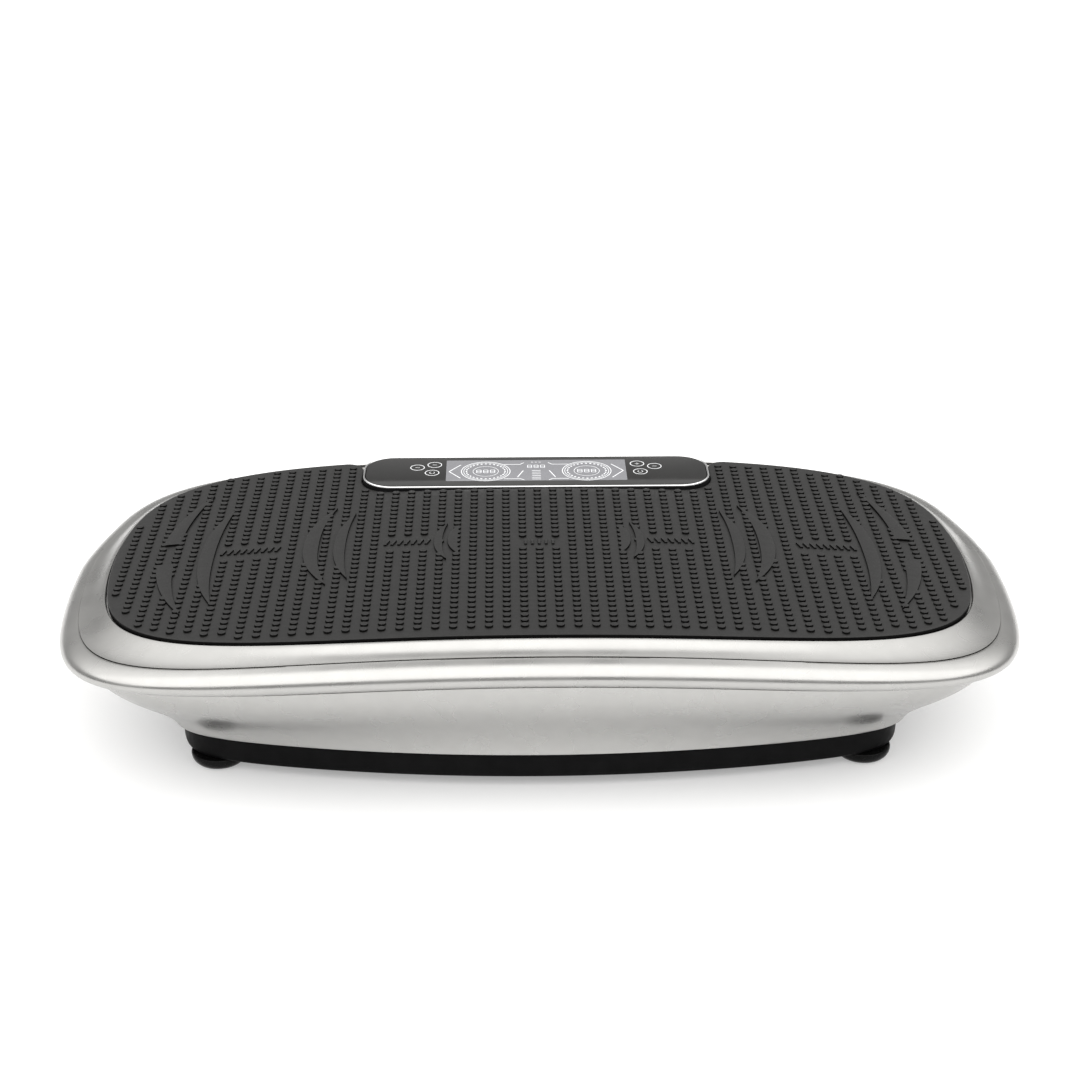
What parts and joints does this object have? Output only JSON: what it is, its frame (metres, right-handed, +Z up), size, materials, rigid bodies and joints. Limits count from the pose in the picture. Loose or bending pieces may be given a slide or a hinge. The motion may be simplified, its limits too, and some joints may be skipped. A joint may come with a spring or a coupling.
{
  "type": "vibration plate",
  "caption": "Slim floor-standing vibration plate: a silver upper body with a studded mat and console that rocks on a black base with rubber feet.",
  "frame": {"origin": "on the floor, under the centre of the body", "axes": "+X along the body to its right end seen from the front, +Y to the console side, +Z up"},
  "size_m": [0.6748, 0.361, 0.1218],
  "materials": {
    "silver_shell": "satin metallic silver paint on moulded plastic",
    "mat": "matte moulded rubber with raised studs",
    "base_plastic": "satin black moulded plastic",
    "foot_rubber": "semi-gloss black rubber",
    "buffer_rubber": "matte black rubber",
    "belt": "ribbed black belt",
    "lens": "polished smoked panel",
    "chrome_trim": "bright chrome",
    "display": "grey display glass",
    "boards": "green circuit board",
    "frame_paint": "satin black powder coat",
    "motor_paint": "dark grey enamel",
    "steel": "turned and ground steel",
    "cast_blocks": "die-cast aluminium",
    "armature": "steel laminations and copper windings",
    "contacts": "polished contact brass",
    "rocker": "red switch rocker",
    "wiring": "black cable sheath"
  },
  "bodies": {
    "base": {"base_pan": "base_plastic", "base_frame": "frame_paint", "foot_front_left": "foot_rubber", "foot_front_right": "foot_rubber", "foot_rear_left": "foot_rubber", "foot_rear_right": "foot_rubber", "bump_stop_front_left": "buffer_rubber", "bump_stop_front_right": "buffer_rubber", "bump_stop_rear_left": "buffer_rubber", "bump_stop_rear_right": "buffer_rubber", "pivot_bracket_front": "frame_paint", "pivot_bracket_rear": "frame_paint", "pivot_bolt_front": "steel", "pivot_bolt_rear": "steel", "pivot_nut_front": "steel", "pivot_nut_rear": "steel", "motor_can": "motor_paint", "motor_end_cap": "steel", "motor_bracket": "frame_paint", "drive_belt": "belt", "crank_block_front": "cast_blocks", "crank_block_rear": "cast_blocks", "crank_bearing_front": "steel", "crank_bearing_rear": "steel"},
    "deck": {"top_shell": "silver_shell", "side_band": "silver_shell", "skirt_shell": "silver_shell", "foot_mat": "mat", "console_housing": "base_plastic", "inlet_panel": "base_plastic", "inlet_body": "base_plastic", "switch_body": "base_plastic", "board_tray": "base_plastic", "pivot_bush_front": "buffer_rubber", "pivot_bush_rear": "buffer_rubber", "console_lens": "lens", "console_trim": "chrome_trim", "lcd_module": "display", "console_board": "boards", "control_board": "boards", "deck_frame": "frame_paint", "rod_pin": "steel", "capacitor": "cast_blocks", "inlet_pin_live": "contacts", "inlet_pin_neutral": "contacts", "inlet_pin_earth": "contacts", "console_cable": "wiring", "mains_lead": "wiring"},
    "crank": {"crank_shaft": "steel", "crank_pulley": "steel"},
    "rod": {"connecting_rod": "cast_blocks", "rod_bearing": "steel"},
    "rotor": {"motor_armature": "armature", "motor_pulley": "steel", "cooling_fan": "base_plastic"},
    "fuse_holder": {"fuse_drawer": "base_plastic", "fuse_link": "contacts"},
    "rocker": {"power_rocker": "rocker"}
  },
  "joints": [
    {"name": "deck_rock", "type": "hinge", "parent": "base", "child": "deck", "pos_m": [0, 0, 0.062], "axis": [0, 1, 0], "range_deg": [-1, 1], "stiffness_Nm_per_rad": 60},
    {"name": "crank_spin", "type": "hinge", "parent": "base", "child": "crank", "pos_m": [-0.11, 0, 0.052], "axis": [0, 1, 0], "continuous": true},
    {"name": "rod_swing", "type": "hinge", "parent": "crank", "child": "rod", "pos_m": [-0.10808, 0, 0.052], "axis": [0, 1, 0], "continuous": true},
    {"name": "motor_spin", "type": "hinge", "parent": "base", "child": "rotor", "pos_m": [0.12, 0, 0.052], "axis": [0, 1, 0], "continuous": true},
    {"name": "rocker_tip", "type": "hinge", "parent": "deck", "child": "rocker", "pos_m": [-0.024, 0.16338, 0.06132], "axis": [1, 0, 0], "range_deg": [-16, 0]},
    {"name": "fuse_slide", "type": "slide", "parent": "deck", "child": "fuse_holder", "axis": [0, 0.9397, -0.342], "range_m": [0, 0.015]}
  ],
  "couplings": [
    {"joint": "rod_swing", "follows": "crank_spin", "ratio": -1},
    {"joint": "motor_spin", "follows": "crank_spin", "ratio": 2.3306}
  ]
}
